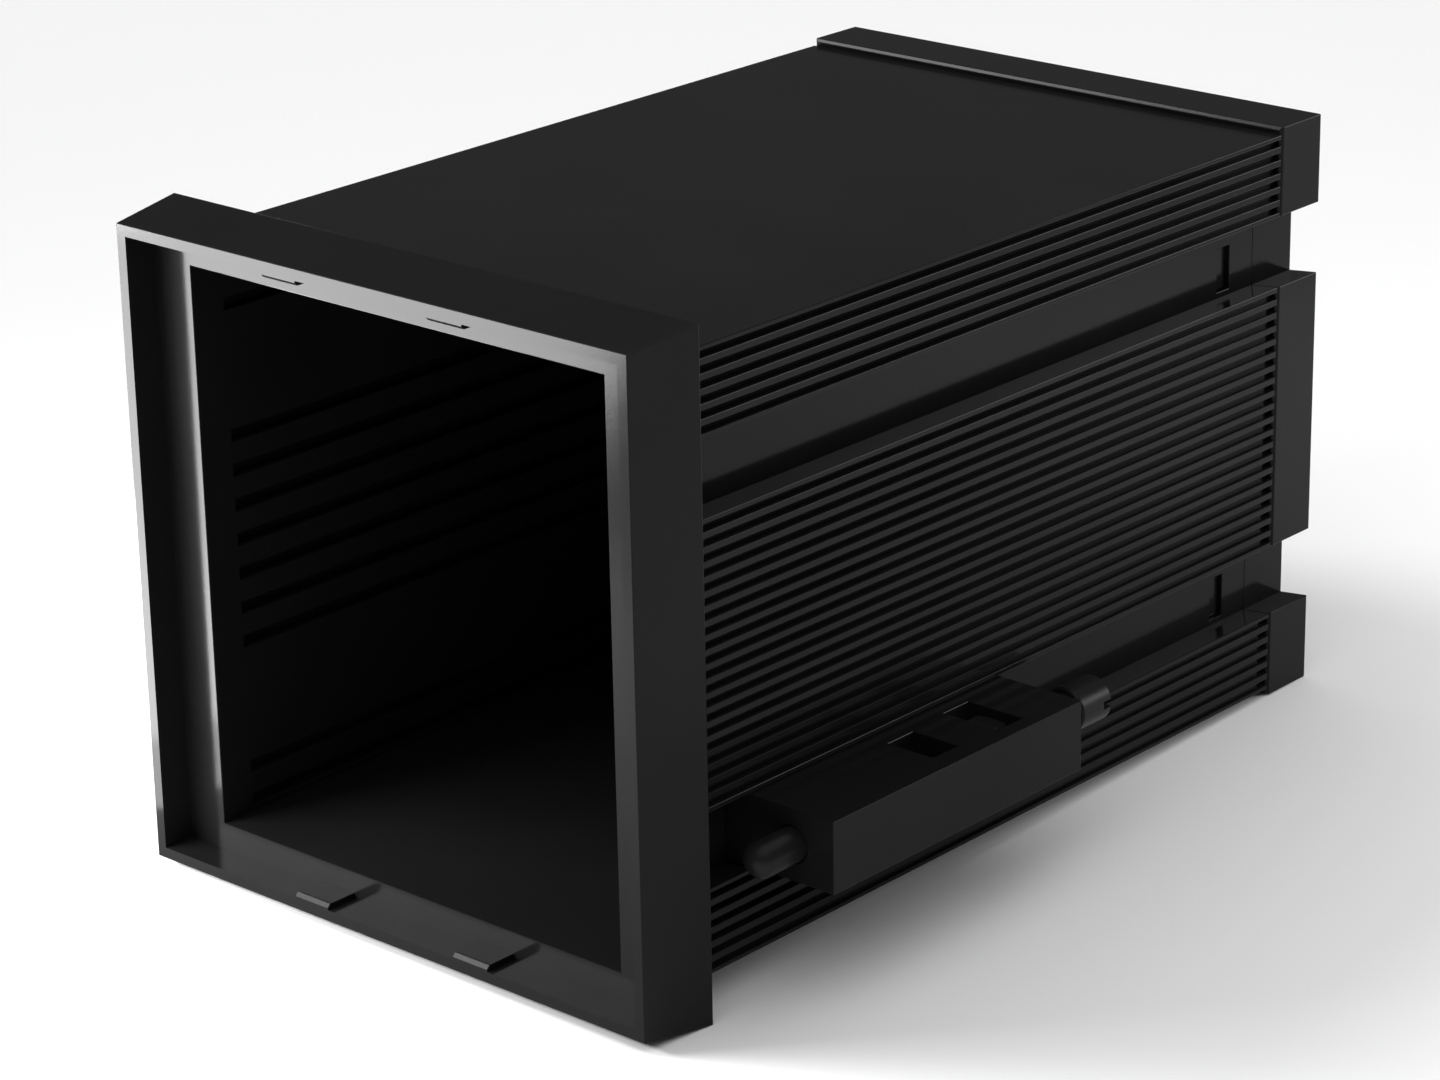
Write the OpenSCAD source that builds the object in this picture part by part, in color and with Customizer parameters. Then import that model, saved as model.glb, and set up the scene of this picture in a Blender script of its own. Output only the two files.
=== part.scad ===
// Panel mount enclosure: a ribbed moulded housing with a square front bezel,
// a snap-fit rear cover and two screw clamps that slide in channels along its sides.
// The origin is the centre of the bezel's back face, where the panel seats.
// X runs to the right, Y towards the back, Z up. All sizes are in millimetres.

/* [Front bezel] */
// How far the bezel stands out past each side of the body
flange_side = 3.7; // [2.5:0.1:8]
// How far the bezel stands out past the body's top and bottom
flange_top = 4.75; // [2.5:0.05:8]
// Depth of the bezel in front of the panel
bezel_depth = 11.8; // [9:0.1:20]
// How much each side of the bezel draws in towards the front
bezel_taper = 1.35; // [0:0.05:2]
// Thickness of the rim round the front recess, at the front
rim_t = 1.65; // [1:0.05:2.5]
// Depth of the front recess
recess_depth = 5.1; // [3:0.1:7]

/* [Recess pads] */
// Width of each pad on the recess's upper and lower walls
pad_w = 6.5; // [3:0.1:12]
// Thickness of each pad
pad_t = 0.8; // [0.3:0.05:1.5]
// Distance of each pad's middle from the centre line
pad_x = 15.2; // [8:0.1:30]
// Lead-in chamfer at the front of each pad
pad_chamfer = 0.5; // [0.1:0.05:0.7]

/* [Body] */
// Width of the inside
cavity_w = 76; // [50:0.5:120]
// Height of the inside
cavity_h = 82; // [72:0.5:120]
// Thickness of each side wall over its ribs
side_wall = 6.3; // [5.8:0.1:10]
// Thickness of the top and bottom walls
top_wall = 2.25; // [1.5:0.05:5]
// Length of the body behind the panel
body_len = 131; // [90:1:200]

/* [Side ribs] */
// Distance from one rib to the next
rib_pitch = 2; // [1.5:0.1:4]
// Width of the groove between two ribs
groove_w = 1; // [0.5:0.1:1.4]
// Depth of the grooves
groove_d = 1.2; // [0.5:0.1:2]
// Least rib left at the edge of each ribbed strip
rib_edge = 0.1; // [0.1:0.05:0.5]

/* [Clamp channels] */
// Height of each channel's middle above or below the centre line
channel_z = 25.625; // [22:0.125:28]
// Height of a channel at its mouth
channel_h = 10.75; // [10:0.05:12]
// Depth of a channel
channel_d = 4.7; // [3:0.1:5]
// How far each channel wall leans back under its lip
dovetail = 0.5; // [0.3:0.05:0.8]

/* [Card guides] */
// Width of a guide groove
guide_w = 1.8; // [1.2:0.1:2.4]
// Depth of a guide groove
guide_d = 1.5; // [0.8:0.1:2]
// Distance from one guide to the next
guide_pitch = 5.08; // [4:0.02:8]
// Distance from the inside's top or bottom to the outermost guide
guide_edge = 1.7; // [1.4:0.1:3]
// Plain wall between the ledge and the front end of the guides
guide_start = 5.7; // [2:0.1:20]

/* [Rear cover] */
// Depth of the cover behind the body
cover_depth = 10; // [6:0.5:25]
// How far the cover stands proud of the body at the top and bottom
cover_proud = 1.1; // [0.5:0.1:1.9]
// Thickness of the back wall
cover_wall = 2.5; // [1.5:0.1:4]

/* [Snap hooks] */
// Length of each snap slot along the channel
slot_len = 3; // [2.4:0.1:5]
// Height of each snap slot
slot_h = 6.6; // [5:0.1:7]
// How far a slot's middle lies off the middle of its channel
slot_off = 1.7; // [0:0.1:1.8]
// Body left behind each snap slot
slot_back = 5.8; // [3:0.1:12]
// Thickness of the tongue that carries each hook
tongue_t = 1.5; // [1:0.1:2.5]
// Gap between a tongue and the inner wall
tongue_gap = 0.2; // [0.1:0.05:0.4]
// Gap round a hook in its slot
hook_gap = 0.15; // [0.1:0.05:0.3]
// How far a hook's face lies below the channel's floor
hook_sink = 0.7; // [0.4:0.1:0.9]
// Length of the lead-in slope at the front of each hook
hook_ramp = 0.6; // [0.2:0.1:1.5]

/* [Clamp block] */
// Length of a clamp block
clamp_len = 53; // [46:1:70]
// How far a clamp block stands out from the body's side
clamp_out = 14.1; // [12:0.1:20]
// Distance of the block's front end from the panel seat
clamp_front = 12.4; // [9:0.1:40]
// Gap between the block's foot and each wall of its channel
clamp_gap = 0.2; // [0.1:0.05:0.25]
// Length of each window along the block
window_len = 5.3; // [5:0.1:8]
// Front end of the front window, from the block's front
window_front = 24.6; // [12:0.1:27]
// Width of the front window
window_w = 7.8; // [5.5:0.1:9]
// Plain block between the two windows
window_space = 7.7; // [3:0.1:10]

/* [Clamp screw] */
// Diameter of the screw's shank
screw_d = 5; // [4:0.1:6]
// Distance of the screw's axis from the body's side
screw_out = 6.9; // [5.5:0.1:9]
// How far the tip stands out in front of the block
tip_reach = 8.2; // [4:0.1:8.5]
// Bare shank between the block and the head
bare_shank = 5.6; // [3:0.1:10]
// Height of the domed tip
tip_h = 1.5; // [0.5:0.1:2]
// Diameter of the head
head_d = 6.8; // [6.4:0.1:9]
// Height of the head
head_h = 6.7; // [3:0.1:9]
// Chamfer round the head
head_chamfer = 0.3; // [0.1:0.05:0.6]
// Width of the driver slot
driver_w = 1.2; // [0.6:0.1:2]
// Depth of the driver slot
driver_d = 2; // [1:0.1:3]
// Gap round the shank in the block
bore_gap = 0.15; // [0.1:0.05:0.4]

/* [Clamp nut] */
// Width of the nut across its flats
nut_af = 8; // [7:0.1:9]
// Thickness of the nut
nut_t = 4.7; // [3:0.1:4.8]
// Gap between the nut and each side of its window
nut_gap = 0.1; // [0.05:0.05:0.3]
// Gap round the shank in the nut
thread_gap = 0.05; // [0.03:0.01:0.1]

/* [Hidden] */

$fn = 64;
// Overlap that keeps cuts and joins clean
eps = 0.5;
body_w = cavity_w + 2 * side_wall;
body_h = cavity_h + 2 * top_wall;
bezel_w = body_w + 2 * flange_side;
bezel_h = body_h + 2 * flange_top;
side = body_w / 2;
ledge_y = recess_depth - bezel_depth;
recess_w = bezel_w - 2 * (bezel_taper + rim_t);
recess_h = bezel_h - 2 * (bezel_taper + rim_t);
channel_floor = side - channel_d;
channel_low = channel_z - channel_h / 2;
channel_high = channel_z + channel_h / 2;
floor_h = channel_h + 2 * dovetail;
cover_end = body_len + cover_depth;
slot_rear = body_len - slot_back;
slot_front = slot_rear - slot_len;
screw_x = side + screw_out;
screw_tip = clamp_front - tip_reach;
screw_head = clamp_front + clamp_len + bare_shank;
tip_r = (screw_d * screw_d / 4 + tip_h * tip_h) / (2 * tip_h);
window_depth = nut_af / 2 + nut_gap;
nut_window_w = nut_af / cos(30) + 2 * nut_gap;
front_window = clamp_front + window_front;
rear_window = front_window + window_len + window_space;
plastic = [0.07, 0.07, 0.075];
screw_black = [0.1, 0.1, 0.105];

// Extrudes an outline drawn in X and Z from y0 to y1
module along_y(y0, y1) {
    translate([0, y1, 0]) rotate([90, 0, 0]) linear_extrude(height = y1 - y0) children();
}

// Extrudes an outline drawn in X and Y from z0 to z1
module along_z(z0, z1) {
    translate([0, 0, z0]) linear_extrude(height = z1 - z0) children();
}

// Repeats its children half a turn round the depth axis
module both_sides() {
    children();
    rotate([0, 180, 0]) children();
}

// Outline of a channel, open past the side at x = mouth
module channel_outline(mouth) {
    polygon([[channel_floor, -floor_h / 2], [side, -channel_h / 2], [mouth, -channel_h / 2],
             [mouth, channel_h / 2], [side, channel_h / 2], [channel_floor, floor_h / 2]]);
}

// Grooves between the ribs of one strip of the right side, from z0 to z1
module strip_grooves(z0, z1) {
    count = floor((z1 - z0 - 2 * rib_edge) / rib_pitch);
    middle = (z0 + z1) / 2;
    for (i = [0 : count - 1])
        translate([side - groove_d, middle + (i - (count - 1) / 2) * rib_pitch - groove_w / 2])
            square([groove_d + eps, groove_w]);
}

// Grooves, channels and ribs of the right side of the body
module side_cuts() {
    strip_grooves(-body_h / 2, -channel_high);
    strip_grooves(-channel_low, channel_low);
    strip_grooves(channel_high, body_h / 2);
    for (z = [-channel_z, channel_z])
        translate([0, z]) channel_outline(side + eps);
}

// Card guides in the right inner wall: a middle set and a set above and below the channels
module guide_outline() {
    reach = floor((channel_low - guide_w) / guide_pitch);
    outermost = cavity_h / 2 - guide_edge;
    pairs = floor((outermost - channel_high - guide_w) / guide_pitch);
    for (i = [-reach : reach])
        guide_slot(i * guide_pitch);
    for (i = [0 : pairs], up = [-1, 1])
        guide_slot(up * (outermost - i * guide_pitch));
}

module guide_slot(z) {
    translate([cavity_w / 2 - eps, z - guide_w / 2]) square([guide_d + eps, guide_w]);
}

// Tapered outline of the bezel, seen from above for its width or from the side for its height
module bezel_draft(size) {
    front = size / 2 - bezel_taper;
    polygon([[-size / 2, 0], [size / 2, 0], [front, -bezel_depth], [-front, -bezel_depth]]);
}

// Tapered block of the bezel
module bezel_block() {
    intersection() {
        along_z(-bezel_h / 2, bezel_h / 2) bezel_draft(bezel_w);
        rotate([0, 90, 0]) along_z(-bezel_w / 2, bezel_w / 2) bezel_draft(bezel_h);
    }
}

// Pad on the recess's lower wall, with its lead-in chamfer at the front
module recess_pad() {
    foot = -recess_h / 2;
    translate([pad_x - pad_w / 2, 0, 0]) rotate([90, 0, 90]) linear_extrude(height = pad_w)
        polygon([[-bezel_depth, foot - eps], [ledge_y + eps, foot - eps], [ledge_y + eps, foot + pad_t],
                 [pad_chamfer - bezel_depth, foot + pad_t], [-bezel_depth, foot + pad_t - pad_chamfer]]);
}

// Slots in the channel floors of the right side, for the cover's hooks
module snap_slots() {
    for (z = [-channel_z, channel_z])
        translate([cavity_w / 2 - eps, slot_front, z - slot_off - slot_h / 2])
            cube([channel_floor - cavity_w / 2 + 2 * eps, slot_len, slot_h]);
}

module housing() {
    color(plastic) difference() {
        union() {
            difference() {
                bezel_block();
                along_y(-bezel_depth - eps, ledge_y) square([recess_w, recess_h], center = true);
            }
            along_y(-eps, body_len) difference() {
                square([body_w, body_h], center = true);
                side_cuts();
                rotate(180) side_cuts();
            }
            both_sides() for (flip = [0, 1]) mirror([flip, 0, 0]) recess_pad();
        }
        along_y(ledge_y - eps, body_len + eps) square([cavity_w, cavity_h], center = true);
        along_y(ledge_y + guide_start, body_len + eps) {
            guide_outline();
            rotate(180) guide_outline();
        }
        both_sides() snap_slots();
    }
}

// Tongue and hook of the cover for one snap slot, at the height of the slot's middle
module snap_tongue(z) {
    inner = cavity_w / 2 - tongue_gap - tongue_t;
    outer = cavity_w / 2 - tongue_gap;
    face = channel_floor - hook_sink;
    tip = slot_front + hook_gap;
    root = cover_end - cover_wall + eps;
    half = slot_h / 2 - hook_gap;
    along_z(z - half, z + half)
        polygon([[inner, tip], [outer, tip], [face, tip + hook_ramp], [face, slot_rear - hook_gap],
                 [outer, slot_rear - hook_gap], [outer, body_len], [cavity_w / 2 + eps, body_len],
                 [cavity_w / 2 + eps, root], [inner, root]]);
}

module rear_cover() {
    color(plastic) {
        difference() {
            along_y(body_len, cover_end) difference() {
                square([body_w, body_h + 2 * cover_proud], center = true);
                for (turn = [0, 180], z = [-channel_z, channel_z])
                    rotate(turn) translate([0, z]) channel_outline(side + eps);
            }
            along_y(body_len - eps, cover_end - cover_wall) square([cavity_w, cavity_h], center = true);
        }
        both_sides() for (z = [-channel_z, channel_z]) snap_tongue(z - slot_off);
    }
}

// Section of the clamp block: a foot that fits the channel and the part that stands out of it
module clamp_outline() {
    foot_x = channel_floor + clamp_gap;
    foot_z = floor_h / 2 - dovetail * clamp_gap / channel_d - clamp_gap;
    top_z = channel_h / 2 - clamp_gap;
    end_x = side + clamp_out;
    polygon([[foot_x, -foot_z], [side, -top_z], [end_x, -top_z],
             [end_x, top_z], [side, top_z], [foot_x, foot_z]]);
}

// Window from the block's top face, down past the screw
module clamp_window(y, width) {
    translate([screw_x - width / 2, y, -window_depth])
        cube([width, window_len, window_depth + channel_h / 2 + eps]);
}

// Round bar along the screw's axis from y0 to y1
module on_axis(y0, y1, d0, d1) {
    translate([screw_x, y0, 0]) rotate([-90, 0, 0]) cylinder(h = y1 - y0, d1 = d0, d2 = d1);
}

// The three clamp pieces are drawn with the channel's middle at height zero
module clamp_block() {
    color(plastic) difference() {
        along_y(clamp_front, clamp_front + clamp_len) clamp_outline();
        on_axis(clamp_front - eps, clamp_front + clamp_len + eps,
                screw_d + 2 * bore_gap, screw_d + 2 * bore_gap);
        clamp_window(front_window, window_w);
        clamp_window(rear_window, nut_window_w);
    }
}

module clamp_nut() {
    middle = rear_window + window_len / 2;
    color(screw_black) difference() {
        translate([screw_x, middle - nut_t / 2, 0]) rotate([-90, 0, 0])
            cylinder(h = nut_t, d = nut_af / cos(30), $fn = 6);
        on_axis(middle - nut_t / 2 - eps, middle + nut_t / 2 + eps,
                screw_d + 2 * thread_gap, screw_d + 2 * thread_gap);
    }
}

module clamp_screw() {
    head_end = screw_head + head_h;
    color(screw_black) {
        intersection() {
            on_axis(screw_tip, screw_head + head_chamfer, screw_d, screw_d);
            union() {
                translate([screw_x, screw_tip + tip_r, 0]) sphere(r = tip_r);
                on_axis(screw_tip + tip_r, screw_head + head_h, 2 * tip_r, 2 * tip_r);
            }
        }
        difference() {
            union() {
                on_axis(screw_head, screw_head + head_chamfer, head_d - 2 * head_chamfer, head_d);
                on_axis(screw_head + head_chamfer, head_end - head_chamfer, head_d, head_d);
                on_axis(head_end - head_chamfer, head_end, head_d, head_d - 2 * head_chamfer);
            }
            translate([screw_x - head_d, head_end - driver_d, -driver_w / 2])
                cube([2 * head_d, driver_d + eps, driver_w]);
        }
    }
}

// Puts a clamp piece in the lower channel of the right side
module right_clamp() {
    translate([0, 0, -channel_z]) children();
}

// Puts a clamp piece in the upper channel of the left side, turned half a turn
module left_clamp() {
    rotate([0, 180, 0]) right_clamp() children();
}

module clamp_block_right() {
    right_clamp() clamp_block();
}

module clamp_nut_right() {
    right_clamp() clamp_nut();
}

module clamp_screw_right() {
    right_clamp() clamp_screw();
}

module clamp_block_left() {
    left_clamp() clamp_block();
}

module clamp_nut_left() {
    left_clamp() clamp_nut();
}

module clamp_screw_left() {
    left_clamp() clamp_screw();
}

housing();
rear_cover();
clamp_block_right();
clamp_nut_right();
clamp_screw_right();
clamp_block_left();
clamp_nut_left();
clamp_screw_left();
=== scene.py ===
import math

import bmesh
import bpy
from mathutils import Matrix, Vector


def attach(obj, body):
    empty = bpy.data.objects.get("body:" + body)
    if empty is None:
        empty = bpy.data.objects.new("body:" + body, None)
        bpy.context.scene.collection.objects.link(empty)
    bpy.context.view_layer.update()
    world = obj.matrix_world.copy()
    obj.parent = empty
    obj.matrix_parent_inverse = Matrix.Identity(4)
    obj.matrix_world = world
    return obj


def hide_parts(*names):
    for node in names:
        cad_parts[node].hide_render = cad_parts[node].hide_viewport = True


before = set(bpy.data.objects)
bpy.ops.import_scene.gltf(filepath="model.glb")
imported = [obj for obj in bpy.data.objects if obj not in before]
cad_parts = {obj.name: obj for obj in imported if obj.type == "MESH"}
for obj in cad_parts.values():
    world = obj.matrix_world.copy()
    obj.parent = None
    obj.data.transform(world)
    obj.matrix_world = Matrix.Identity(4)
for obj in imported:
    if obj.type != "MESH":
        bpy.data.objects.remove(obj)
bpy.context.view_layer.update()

# Housing
# The real housing is one black injection moulding: bezel, recess, body, channels and card guides.
# Its faces are lightly glossy, and its outer edges have the small radius that a mould leaves.
# Only the front edge of the recess is left crisp.
mm = 0.001
weld = 0.002 * mm
hair = 0.01 * mm
flat_angle = math.radians(0.5)
edge_angle = math.radians(20)


def wired(tree, kind, values=None, **settings):
    """Adds a node, with its settings and with values or links on its inputs."""
    added = tree.nodes.new(kind)
    for label, setting in settings.items():
        setattr(added, label, setting)
    for label, value in (values or {}).items():
        if isinstance(value, bpy.types.NodeSocket):
            tree.links.new(value, added.inputs[label])
        else:
            added.inputs[label].default_value = value
    return added


def moulded_plastic(name, dark, light, gloss_low, gloss_high):
    """Black moulding: faint cloudy tone, cloudy gloss and the fine grain of a polished mould."""
    material = bpy.data.materials.new(name)
    material.use_nodes = True
    tree = material.node_tree
    shader = tree.nodes["Principled BSDF"]
    shader.inputs["IOR"].default_value = 1.5
    shader.inputs["Specular IOR Level"].default_value = 0.085
    place = wired(tree, "ShaderNodeTexCoord").outputs["Object"]

    cloud = wired(tree, "ShaderNodeTexNoise", {"Vector": place, "Scale": 38.0, "Detail": 3.0})
    tone = wired(tree, "ShaderNodeValToRGB", {"Fac": cloud.outputs["Fac"]})
    tone.color_ramp.elements[0].position = 0.3
    tone.color_ramp.elements[0].color = (*dark, 1.0)
    tone.color_ramp.elements[1].position = 0.7
    tone.color_ramp.elements[1].color = (*light, 1.0)
    tree.links.new(tone.outputs["Color"], shader.inputs["Base Color"])

    flow = wired(tree, "ShaderNodeTexNoise", {"Vector": place, "Scale": 120.0, "Detail": 4.0})
    gloss = wired(tree, "ShaderNodeMapRange",
                  {"Value": flow.outputs["Fac"], "From Min": 0.3, "From Max": 0.7,
                   "To Min": gloss_low, "To Max": gloss_high})
    tree.links.new(gloss.outputs["Result"], shader.inputs["Roughness"])

    grain = wired(tree, "ShaderNodeTexNoise", {"Vector": place, "Scale": 2600.0, "Detail": 2.0})
    bump = wired(tree, "ShaderNodeBump",
                 {"Height": grain.outputs["Fac"], "Strength": 0.12, "Distance": 0.00003})
    tree.links.new(bump.outputs["Normal"], shader.inputs["Normal"])
    return material


def placed(name, data):
    """A new object in the scene for a mesh, a light or a camera."""
    made = bpy.data.objects.new(name, data)
    bpy.context.scene.collection.objects.link(made)
    return made


def joined_copy(node):
    """A CAD node's faces without their stored normals, with the loose triangles merged."""
    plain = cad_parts[node].data.copy()
    stored = plain.attributes.get("custom_normal")
    if stored is not None:
        plain.attributes.remove(stored)
    mesh = bmesh.new()
    mesh.from_mesh(plain)
    bpy.data.meshes.remove(plain)
    bmesh.ops.remove_doubles(mesh, verts=mesh.verts, dist=weld)
    return mesh


def flatten_faces(mesh):
    """Joins the triangles of each flat face and drops what has no area."""
    bmesh.ops.dissolve_degenerate(mesh, dist=weld, edges=mesh.edges)
    bmesh.ops.dissolve_limit(mesh, angle_limit=flat_angle, verts=mesh.verts, edges=mesh.edges)


def rounded_piece(name, mesh, radius, material, body, node, crisp=()):
    """Puts a flat-shaded piece in place of a CAD node, its outer edges rounded but for crisp ones."""
    rounding = mesh.edges.layers.float.new("bevel_weight_edge")
    for edge in mesh.edges:
        outward = edge.is_manifold and edge.is_convex and edge.calc_face_angle() > edge_angle
        if outward and edge.index not in crisp:
            edge[rounding] = 1.0
    for face in mesh.faces:
        face.smooth = False
    data = bpy.data.meshes.new(name)
    mesh.to_mesh(data)
    mesh.free()
    data.materials.append(material)
    piece = placed(name, data)
    bevel = piece.modifiers.new("mould_radius", "BEVEL")
    bevel.width = radius
    bevel.segments = 2
    bevel.limit_method = "WEIGHT"
    bevel.use_clamp_overlap = True
    graph = bpy.context.evaluated_depsgraph_get()
    rounded = bpy.data.meshes.new_from_object(piece.evaluated_get(graph))
    piece.modifiers.clear()
    piece.data = rounded
    piece.data.name = name
    bpy.data.meshes.remove(data)
    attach(piece, body)
    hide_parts(node)
    return piece


black_moulding = moulded_plastic("black_moulding", dark=(0.0085, 0.0085, 0.0088),
                                 light=(0.0106, 0.0106, 0.0110), gloss_low=0.12, gloss_high=0.145)
mould_radius = 0.1 * mm
side = 44.3 * mm
groove_depth = 1.2 * mm
edge_rib = 42.5 * mm
lip_zone = (19.4 * mm, 31.7 * mm)
front_plane = -11.8 * mm
recess_half = 45.01 * mm

# The ribs are pressed back to the floor of their grooves, and the next section makes them again
shell = joined_copy("housing")
for point in shell.verts:
    height = abs(point.co.z)
    at_lip = lip_zone[0] < height < lip_zone[1]
    if abs(abs(point.co.x) - side) < hair and height < edge_rib and not at_lip:
        point.co.x -= math.copysign(groove_depth, point.co.x)
bmesh.ops.remove_doubles(shell, verts=shell.verts, dist=weld)
flatten_faces(shell)
inner_rim = set()
shell.edges.index_update()
for edge in shell.edges:
    in_front = all(abs(v.co.y - front_plane) < hair for v in edge.verts)
    if in_front and all(max(abs(v.co.x), abs(v.co.z)) < recess_half for v in edge.verts):
        inner_rim.add(edge.index)
housing_shell = rounded_piece("housing_shell", shell, mould_radius, black_moulding,
                              "enclosure", "housing", inner_rim)

# Side ribs
# Straight ribs moulded along both sides of the body, in a tall middle strip and two short strips.
# Each is a bar with a rounded nose, at an even pitch, and its root runs into the wall.
root_depth = 0.5 * mm
rib_weld = 0.001 * mm


def new_tree(name, sizes):
    """A geometry tree with its named sizes, a material input and one geometry output."""
    tree = bpy.data.node_groups.new(name, "GeometryNodeTree")
    for label, kind in sizes:
        tree.interface.new_socket(label, in_out="INPUT", socket_type=kind)
    tree.interface.new_socket("Finish", in_out="INPUT", socket_type="NodeSocketMaterial")
    tree.interface.new_socket("Geometry", in_out="OUTPUT", socket_type="NodeSocketGeometry")
    return tree


def reckoned(tree, operation, *terms):
    """One step of arithmetic in a tree, as its result."""
    return wired(tree, "ShaderNodeMath", dict(enumerate(terms)), operation=operation).outputs[0]


def end_tree(tree, geometry, finish):
    """Ends a tree: instances made real, the material set and the geometry handed out."""
    real = wired(tree, "GeometryNodeRealizeInstances", {"Geometry": geometry})
    finished = wired(tree, "GeometryNodeSetMaterial",
                     {"Geometry": real.outputs["Geometry"], "Material": finish})
    wired(tree, "NodeGroupOutput", {"Geometry": finished.outputs["Geometry"]})


def grown_mesh(name, tree, sizes, finish):
    """Runs a tree on an empty piece and returns the result as a plain mesh."""
    empty = bpy.data.meshes.new(name)
    holder = placed(name, empty)
    growth = holder.modifiers.new(name, "NODES")
    growth.node_group = tree
    for item in tree.interface.items_tree:
        if item.in_out == "INPUT":
            growth[item.identifier] = finish if item.name == "Finish" else sizes[item.name]
    graph = bpy.context.evaluated_depsgraph_get()
    grown = bpy.data.meshes.new_from_object(holder.evaluated_get(graph))
    growth.node_group = None
    bpy.data.objects.remove(holder)
    bpy.data.meshes.remove(empty)
    grown.name = name
    return grown


rib_tree = new_tree("rib_strips", (
    ("Middle count", "NodeSocketInt"), ("End count", "NodeSocketInt"), ("Pitch", "NodeSocketFloat"),
    ("End height", "NodeSocketFloat"), ("Root", "NodeSocketFloat"), ("Rise", "NodeSocketFloat"),
    ("Width", "NodeSocketFloat"), ("Nose", "NodeSocketFloat"), ("Start", "NodeSocketFloat"),
    ("Length", "NodeSocketFloat")))
given = wired(rib_tree, "NodeGroupInput").outputs
section = wired(rib_tree, "GeometryNodeCurvePrimitiveQuadrilateral",
                {"Width": given["Rise"], "Height": given["Width"]})
nosed = wired(rib_tree, "GeometryNodeFilletCurve",
              {"Curve": section.outputs["Curve"], "Radius": given["Nose"], "Count": 3}, mode="POLY")
face = wired(rib_tree, "GeometryNodeFillCurve", {"Curve": nosed.outputs["Curve"]}, mode="NGONS")
stood = wired(rib_tree, "GeometryNodeTransform",
              {"Geometry": face.outputs["Mesh"], "Rotation": (math.radians(90), 0.0, 0.0)})
run = wired(rib_tree, "ShaderNodeCombineXYZ", {"Y": given["Length"]})
drawn = wired(rib_tree, "GeometryNodeExtrudeMesh",
              {"Mesh": stood.outputs["Geometry"], "Offset": run.outputs["Vector"], "Individual": False})
front_end = wired(rib_tree, "GeometryNodeFlipFaces", {"Mesh": stood.outputs["Geometry"]})
rib_parts = wired(rib_tree, "GeometryNodeJoinGeometry")
rib_tree.links.new(drawn.outputs["Mesh"], rib_parts.inputs["Geometry"])
rib_tree.links.new(front_end.outputs["Mesh"], rib_parts.inputs["Geometry"])
rib = wired(rib_tree, "GeometryNodeMergeByDistance",
            {"Geometry": rib_parts.outputs["Geometry"], "Distance": rib_weld})
half_rise = reckoned(rib_tree, "MULTIPLY", given["Rise"], 0.5)
root_x = reckoned(rib_tree, "ADD", given["Root"], half_rise)
step = wired(rib_tree, "ShaderNodeCombineXYZ", {"Z": given["Pitch"]})
lower = reckoned(rib_tree, "MULTIPLY", given["End height"], -1.0)
strips = wired(rib_tree, "GeometryNodeJoinGeometry")
for count, middle in ((given["Middle count"], 0.0), (given["End count"], given["End height"]),
                      (given["End count"], lower)):
    gaps = reckoned(rib_tree, "SUBTRACT", count, 1.0)
    reach = reckoned(rib_tree, "MULTIPLY", gaps, given["Pitch"])
    below = reckoned(rib_tree, "MULTIPLY", reach, -0.5)
    first = reckoned(rib_tree, "ADD", middle, below)
    foot = wired(rib_tree, "ShaderNodeCombineXYZ", {"X": root_x, "Y": given["Start"], "Z": first})
    line = wired(rib_tree, "GeometryNodeMeshLine",
                 {"Count": count, "Start Location": foot.outputs["Vector"],
                  "Offset": step.outputs["Vector"]}, mode="OFFSET", count_mode="TOTAL")
    strip = wired(rib_tree, "GeometryNodeInstanceOnPoints",
                  {"Points": line.outputs["Mesh"], "Instance": rib.outputs["Geometry"]})
    rib_tree.links.new(strip.outputs["Instances"], strips.inputs["Geometry"])
far_side = wired(rib_tree, "GeometryNodeTransform",
                 {"Geometry": strips.outputs["Geometry"], "Rotation": (0.0, math.radians(180), 0.0)})
both = wired(rib_tree, "GeometryNodeJoinGeometry")
rib_tree.links.new(strips.outputs["Geometry"], both.inputs["Geometry"])
rib_tree.links.new(far_side.outputs["Geometry"], both.inputs["Geometry"])
end_tree(rib_tree, both.outputs["Geometry"], given["Finish"])

rib_sizes = {"Middle count": 19, "End count": 5, "Pitch": 2.0 * mm, "End height": 37.125 * mm,
             "Root": side - groove_depth - root_depth, "Rise": groove_depth + root_depth,
             "Width": 1.0 * mm, "Nose": 0.12 * mm, "Start": -0.3 * mm, "Length": 131.2 * mm}
side_ribs = placed("side_ribs", grown_mesh("side_ribs", rib_tree, rib_sizes, black_moulding))
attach(side_ribs, "enclosure")

# Rear cover
# A separate black cap of the same plastic, pushed on from behind until its hooks snap into the slots.
# It is notched where the channels run out, so that the clamps can be slid in.
cover_front = 131.0 * mm
cover_top = 44.35 * mm
cover_chamfer = 0.5 * mm
cover_radius = 0.12 * mm
cover = joined_copy("rear_cover")
flatten_faces(cover)
front_edges = []
for edge in cover.edges:
    at_front = all(abs(v.co.y - cover_front) < hair for v in edge.verts)
    at_side = all(abs(abs(v.co.x) - side) < hair for v in edge.verts)
    at_top = all(abs(abs(v.co.z) - cover_top) < hair for v in edge.verts)
    if at_front and (at_side or at_top):
        front_edges.append(edge)
bmesh.ops.bevel(cover, geom=front_edges, offset=cover_chamfer, segments=1, affect="EDGES",
                clamp_overlap=True)
rear_cap = rounded_piece("rear_cap", cover, cover_radius, black_moulding, "enclosure", "rear_cover")

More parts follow.
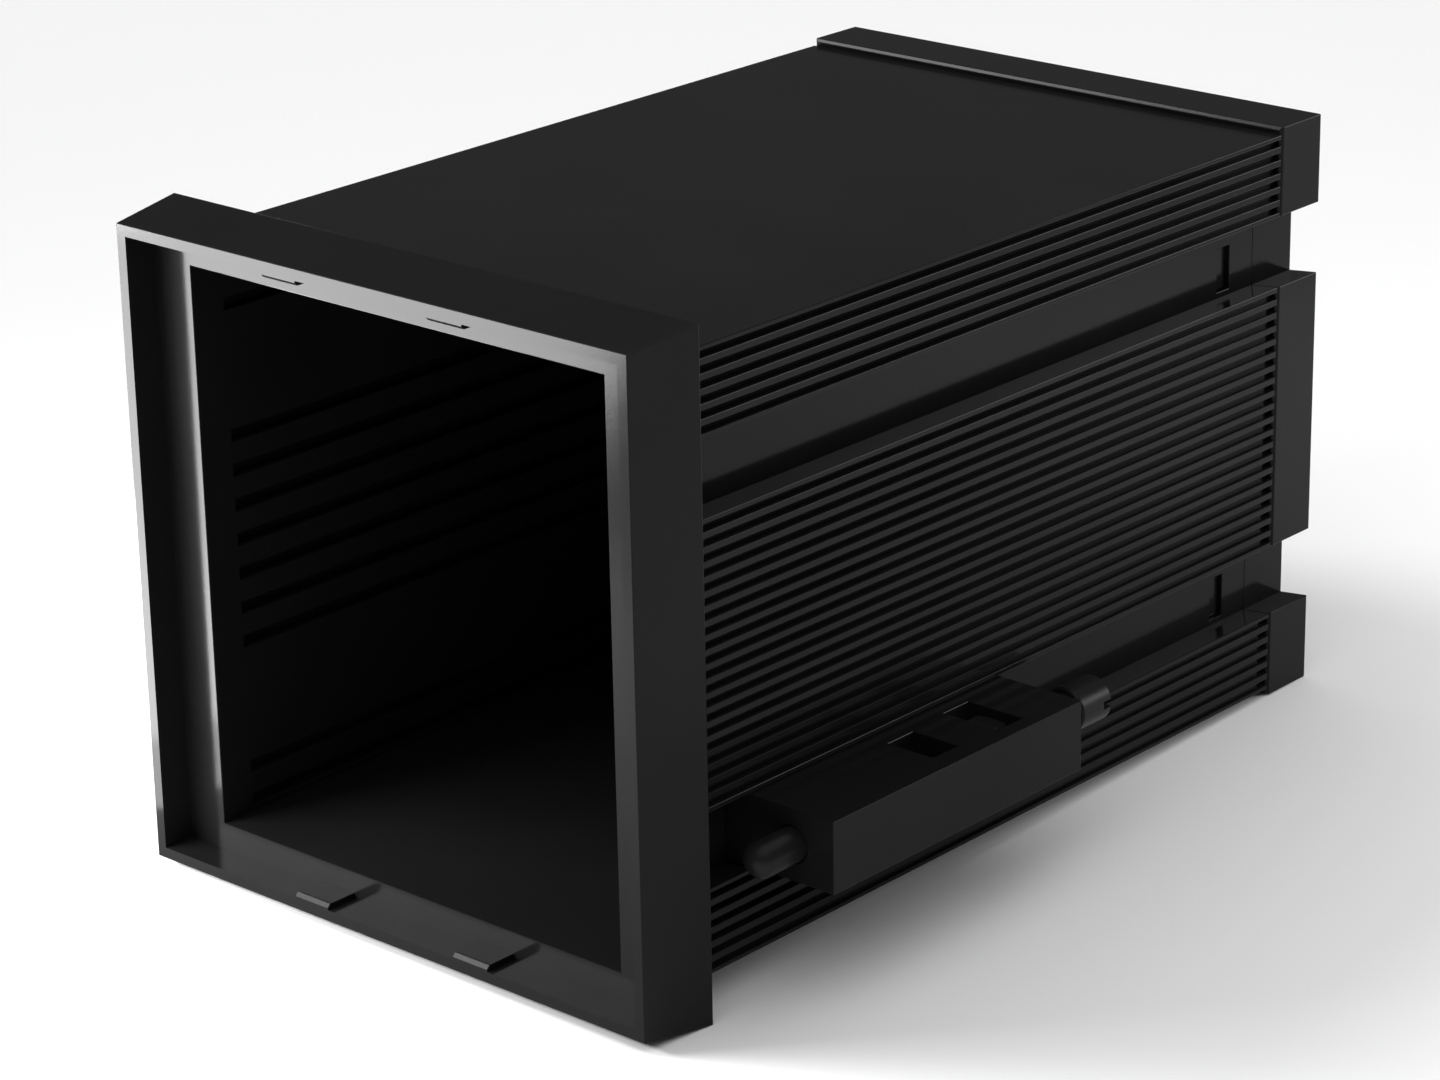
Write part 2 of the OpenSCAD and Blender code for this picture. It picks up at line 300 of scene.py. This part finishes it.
# Clamp blocks
# Each is a straight black moulded bar whose foot is held in a channel by its dovetail.
# Two windows in its top take the nut, so that the screw can be set for thick or thin panels.
for hand in ("right", "left"):
    block = joined_copy("clamp_block_" + hand)
    flatten_faces(block)
    bar = rounded_piece("clamp_bar_" + hand, block, mould_radius, black_moulding,
                        hand + "_clamp", "clamp_block_" + hand)

# Clamp nuts
# Blackened steel hexagon nuts, chamfered at both faces, dropped into the rear window of each block.
# The window's walls keep a nut from turning, so that its screw moves on when the head is turned.


def blackened_steel(name, dark, light, gloss_low, gloss_high):
    """Steel with a black oxide skin: dark and satin, with a cloudy tone and gloss."""
    material = bpy.data.materials.new(name)
    material.use_nodes = True
    tree = material.node_tree
    shader = tree.nodes["Principled BSDF"]
    shader.inputs["Specular IOR Level"].default_value = 0.12
    place = wired(tree, "ShaderNodeTexCoord").outputs["Object"]
    cloud = wired(tree, "ShaderNodeTexNoise", {"Vector": place, "Scale": 700.0, "Detail": 4.0})
    tone = wired(tree, "ShaderNodeValToRGB", {"Fac": cloud.outputs["Fac"]})
    tone.color_ramp.elements[0].color = (*dark, 1.0)
    tone.color_ramp.elements[1].color = (*light, 1.0)
    tree.links.new(tone.outputs["Color"], shader.inputs["Base Color"])
    gloss = wired(tree, "ShaderNodeMapRange",
                  {"Value": cloud.outputs["Fac"], "To Min": gloss_low, "To Max": gloss_high})
    tree.links.new(gloss.outputs["Result"], shader.inputs["Roughness"])
    return material


def smooth_piece(name, mesh, material, body, sharp=35):
    """Makes a mesh a smooth-shaded piece with creases at its sharp edges, and lets it ride on a body."""
    bmesh.ops.recalc_face_normals(mesh, faces=mesh.faces)
    data = bpy.data.meshes.new(name)
    mesh.to_mesh(data)
    mesh.free()
    data.materials.append(material)
    data.shade_smooth()
    data.set_sharp_from_angle(angle=math.radians(sharp))
    piece = placed(name, data)
    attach(piece, body)
    return piece


def nut_profile(angle):
    """Radius and reach of the nut's eight rings at an angle, from the bore round to the bore again."""
    from_flat = (angle + nut_sixth / 2) % nut_sixth - nut_sixth / 2
    corner = nut_flats / 2 / math.cos(from_flat)
    drop = max(0.0, corner - nut_face) * math.tan(nut_slope)
    rear = ((nut_bore, nut_half - bore_chamfer), (nut_bore + bore_chamfer, nut_half),
            (nut_face, nut_half), (corner, nut_half - drop))
    return rear + tuple((radius, -reach) for radius, reach in reversed(rear))


black_steel = blackened_steel("black_steel", dark=(0.008, 0.008, 0.0086), light=(0.014, 0.014, 0.0148),
                              gloss_low=0.29, gloss_high=0.38)
half_turn = Matrix.Rotation(math.pi, 4, "Y")
screw_axis = Vector((51.2, 0.0, -25.625)) * mm
nut_flats = 8.0 * mm
nut_middle = 52.65 * mm
nut_half = 4.7 / 2 * mm
nut_bore = 2.55 * mm
nut_face = 3.75 * mm
bore_chamfer = 0.4 * mm
nut_slope = math.radians(30)
nut_sixth = math.pi / 3
nut_steps = 96
nut_crease = 25
for hand in ("right", "left"):
    nut = bmesh.new()
    spokes = []
    for k in range(nut_steps):
        angle = 2 * math.pi * k / nut_steps
        spoke = []
        for radius, reach in nut_profile(angle):
            spoke.append(nut.verts.new((screw_axis.x + radius * math.sin(angle), nut_middle + reach,
                                        screw_axis.z + radius * math.cos(angle))))
        spokes.append(spoke)
    for spoke, after in zip(spokes, spokes[1:] + spokes[:1]):
        for k in range(len(spoke)):
            n = (k + 1) % len(spoke)
            nut.faces.new((spoke[k], after[k], after[n], spoke[n]))
    if hand == "left":
        nut.transform(half_turn)
    hex_nut = smooth_piece("hex_nut_" + hand, nut, black_steel, hand + "_clamp", nut_crease)
    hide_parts("clamp_nut_" + hand)

# Clamp screws
# Blackened steel screws with a round slotted head and a domed tip that bears on the panel.
# The end that shows in front is plain; the thread starts inside the block and fades out at the head.
thread_tree = new_tree("screw_thread", (
    ("Radius", "NodeSocketFloat"), ("Depth", "NodeSocketFloat"), ("Pitch", "NodeSocketFloat"),
    ("Length", "NodeSocketFloat"), ("Around", "NodeSocketInt"), ("Along", "NodeSocketInt")))
given = wired(thread_tree, "NodeGroupInput").outputs
shank = wired(thread_tree, "GeometryNodeMeshCylinder",
              {"Vertices": given["Around"], "Side Segments": given["Along"], "Radius": given["Radius"],
               "Depth": given["Length"]}, fill_type="NONE")
position = wired(thread_tree, "GeometryNodeInputPosition").outputs["Position"]
spot = wired(thread_tree, "ShaderNodeSeparateXYZ", {"Vector": position}).outputs
bearing = reckoned(thread_tree, "ARCTAN2", spot["Y"], spot["X"])
turn = reckoned(thread_tree, "DIVIDE", bearing, 2 * math.pi)
climb = reckoned(thread_tree, "DIVIDE", spot["Z"], given["Pitch"])
phase = reckoned(thread_tree, "SUBTRACT", climb, turn)
flank = reckoned(thread_tree, "PINGPONG", phase, 0.5)
from_middle = reckoned(thread_tree, "ABSOLUTE", spot["Z"])
half_length = reckoned(thread_tree, "MULTIPLY", given["Length"], 0.5)
full_depth = reckoned(thread_tree, "SUBTRACT", half_length, given["Pitch"])
run_out = wired(thread_tree, "ShaderNodeMapRange",
                {"Value": from_middle, "From Min": half_length, "From Max": full_depth,
                 "To Min": 0.0, "To Max": 1.0})
double = reckoned(thread_tree, "MULTIPLY", flank, 2.0)
faded = reckoned(thread_tree, "MULTIPLY", double, run_out.outputs["Result"])
cut = reckoned(thread_tree, "MULTIPLY", faded, given["Depth"])
share = reckoned(thread_tree, "DIVIDE", cut, given["Radius"])
inward = reckoned(thread_tree, "MULTIPLY", share, -1.0)
across = wired(thread_tree, "ShaderNodeCombineXYZ", {"X": spot["X"], "Y": spot["Y"]})
shift = wired(thread_tree, "ShaderNodeVectorMath",
              {0: across.outputs["Vector"], "Scale": inward}, operation="SCALE")
threaded = wired(thread_tree, "GeometryNodeSetPosition",
                 {"Geometry": shank.outputs["Mesh"], "Offset": shift.outputs["Vector"]})
end_tree(thread_tree, threaded.outputs["Geometry"], given["Finish"])

shank_start = 13.0 * mm
shank_end = 70.8 * mm
screw_core = 2.2 * mm
thread_sizes = {"Radius": 2.5 * mm, "Depth": 0.38 * mm, "Pitch": 0.8 * mm,
                "Length": shank_end - shank_start, "Around": 32, "Along": 576}
lay = Matrix.Rotation(math.radians(-90), 4, "X")
seat = Matrix.Translation(screw_axis + Vector((0.0, (shank_start + shank_end) / 2, 0.0)))
for hand in ("right", "left"):
    axis = screw_axis.xz if hand == "right" else -screw_axis.xz
    ends = joined_copy("clamp_screw_" + hand)
    for y in (shank_start, shank_end):
        whole = list(ends.verts) + list(ends.edges) + list(ends.faces)
        bmesh.ops.bisect_plane(ends, geom=whole, plane_co=(0.0, y, 0.0), plane_no=(0.0, 1.0, 0.0))
    between = []
    for face in ends.faces:
        centre = face.calc_center_median()
        if shank_start < centre.y < shank_end and (centre.xz - axis).length > screw_core:
            between.append(face)
    bmesh.ops.delete(ends, geom=between, context="FACES")
    tip_and_head = smooth_piece("screw_head_" + hand, ends, black_steel, hand + "_screw")
    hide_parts("clamp_screw_" + hand)
    thread = bmesh.new()
    thread.from_mesh(grown_mesh("screw_thread_" + hand, thread_tree, thread_sizes, black_steel))
    thread.transform(seat @ lay)
    if hand == "left":
        thread.transform(half_turn)
    smooth_piece("screw_thread_" + hand, thread, black_steel, hand + "_screw")

# Floor
# A plain pale sheet that the bezel's lower edge and the cover's lower edge rest on.
# It slopes a little, because the bezel reaches lower than the cover does.
seat_front = Vector((0.0, 0.0, -48.0 * mm))
seat_back = Vector((0.0, 141.0 * mm, -cover_top))
floor_slope = (seat_back.z - seat_front.z) / (seat_back.y - seat_front.y)
floor_half = 12.0
floor_mesh = bmesh.new()
corners = []
for x, y in ((-floor_half, -floor_half), (floor_half, -floor_half),
             (floor_half, floor_half), (-floor_half, floor_half)):
    corners.append(floor_mesh.verts.new((x, y, seat_front.z + floor_slope * y)))
floor_mesh.faces.new(corners)
floor_data = bpy.data.meshes.new("pale_floor")
floor_mesh.to_mesh(floor_data)
floor_mesh.free()
pale_sheet = bpy.data.materials.new("pale_sheet")
pale_sheet.use_nodes = True
sheet_finish = pale_sheet.node_tree.nodes["Principled BSDF"].inputs
sheet_finish["Base Color"].default_value = (0.95, 0.95, 0.95, 1.0)
sheet_finish["Roughness"].default_value = 0.9
sheet_finish["Specular IOR Level"].default_value = 0.0
floor_data.materials.append(pale_sheet)
floor = placed("pale_floor", floor_data)

# Light
# A wide overhead light, a small key from the upper left and four cards that stand or lie low.
# The cards are what the glossy front and the channels' lips mirror; the room itself is dim.
room = bpy.data.worlds.new("dim_room")
room.use_nodes = True
room.node_tree.nodes["Background"].inputs["Color"].default_value = (1.0, 1.0, 1.0, 1.0)
room.node_tree.nodes["Background"].inputs["Strength"].default_value = 0.10
bpy.context.scene.world = room


def hung_light(name, kind, strength):
    """A new light in the scene, with its strength."""
    lamp = bpy.data.lights.new(name, kind)
    lamp.energy = strength
    return placed(name, lamp)


def far_light(name, strength, width, spot):
    """A light so far off that it only has a direction and an apparent width in degrees."""
    hung = hung_light(name, "SUN", strength)
    hung.data.angle = math.radians(width)
    hung.rotation_euler = Vector(spot).to_track_quat("Z", "Y").to_euler()


def card(name, strength, ends, height, facing):
    """A flat card that glows towards a point, stretched between two ends; the camera does not see it."""
    hung = hung_light(name, "AREA", strength)
    first = Vector(ends[0]) * mm
    last = Vector(ends[1]) * mm
    hung.data.shape = "RECTANGLE"
    hung.data.size = (last - first).length
    hung.data.size_y = height * mm
    hung.visible_camera = False
    middle = (first + last) / 2
    across = (last - first).normalized()
    away = middle - Vector(facing) * mm
    away = (away - across * away.dot(across)).normalized()
    turned = Matrix((across, away.cross(across), away)).transposed().to_4x4()
    hung.matrix_world = Matrix.Translation(middle) @ turned


far_light("overhead_light", strength=1.9, width=100, spot=(0.0, -0.15, 1.0))
far_light("small_key", strength=1.1, width=16.5, spot=(-0.63, -0.34, 0.70))
card("low_card", strength=5.3, ends=((-128.5, -15.0, -46.0), (-295.2, -366.0, -46.0)),
     height=140.0, facing=(-211.85, -190.5, 500.0))
card("low_card_end", strength=0.16, ends=((-118.2, 6.6, -46.0), (-128.5, -15.0, -46.0)),
     height=140.0, facing=(-123.35, -4.2, 500.0))
card("front_card", strength=0.49, ends=((-159.5, -95.2, 14.8), (-68.0, -143.0, 47.0)),
     height=24.0, facing=(0.0, -9.0, -43.5))
card("right_card", strength=0.32, ends=((292.0, 240.0, 62.0), (170.0, 346.0, 62.0)),
     height=85.0, facing=(40.0, 70.0, 150.0))

# Camera
# It stands at the photograph's angle: to the right of the front and above it, with a long lens.
# The lens is given in pixels of a frame that is 1440 pixels wide.
azimuth = math.radians(41.7633)
elevation = math.radians(20.2993)
roll = math.radians(-1.0898)
target = Vector((1.6674, 55.0, -7.0723)) * mm
distance = 629.855 * mm
frame_width = 1440.0
focal_pixels = 4415.243
sensor_width = 36.0
back = Vector((math.sin(azimuth) * math.cos(elevation), -math.cos(azimuth) * math.cos(elevation),
               math.sin(elevation)))
right = Vector((math.cos(azimuth), math.sin(azimuth), 0.0))
up = back.cross(right)
turned_right = right * math.cos(roll) + up * math.sin(roll)
turned_up = up * math.cos(roll) - right * math.sin(roll)
lens = bpy.data.cameras.new("camera")
lens.sensor_width = sensor_width
lens.lens = focal_pixels / frame_width * sensor_width
lens.clip_start = 0.01
lens.clip_end = 20.0
camera = placed("camera", lens)
facing = Matrix((turned_right, turned_up, back)).transposed().to_4x4()
camera.matrix_world = Matrix.Translation(target + back * distance) @ facing
bpy.context.scene.camera = camera
bpy.context.scene.view_settings.view_transform = "Standard"
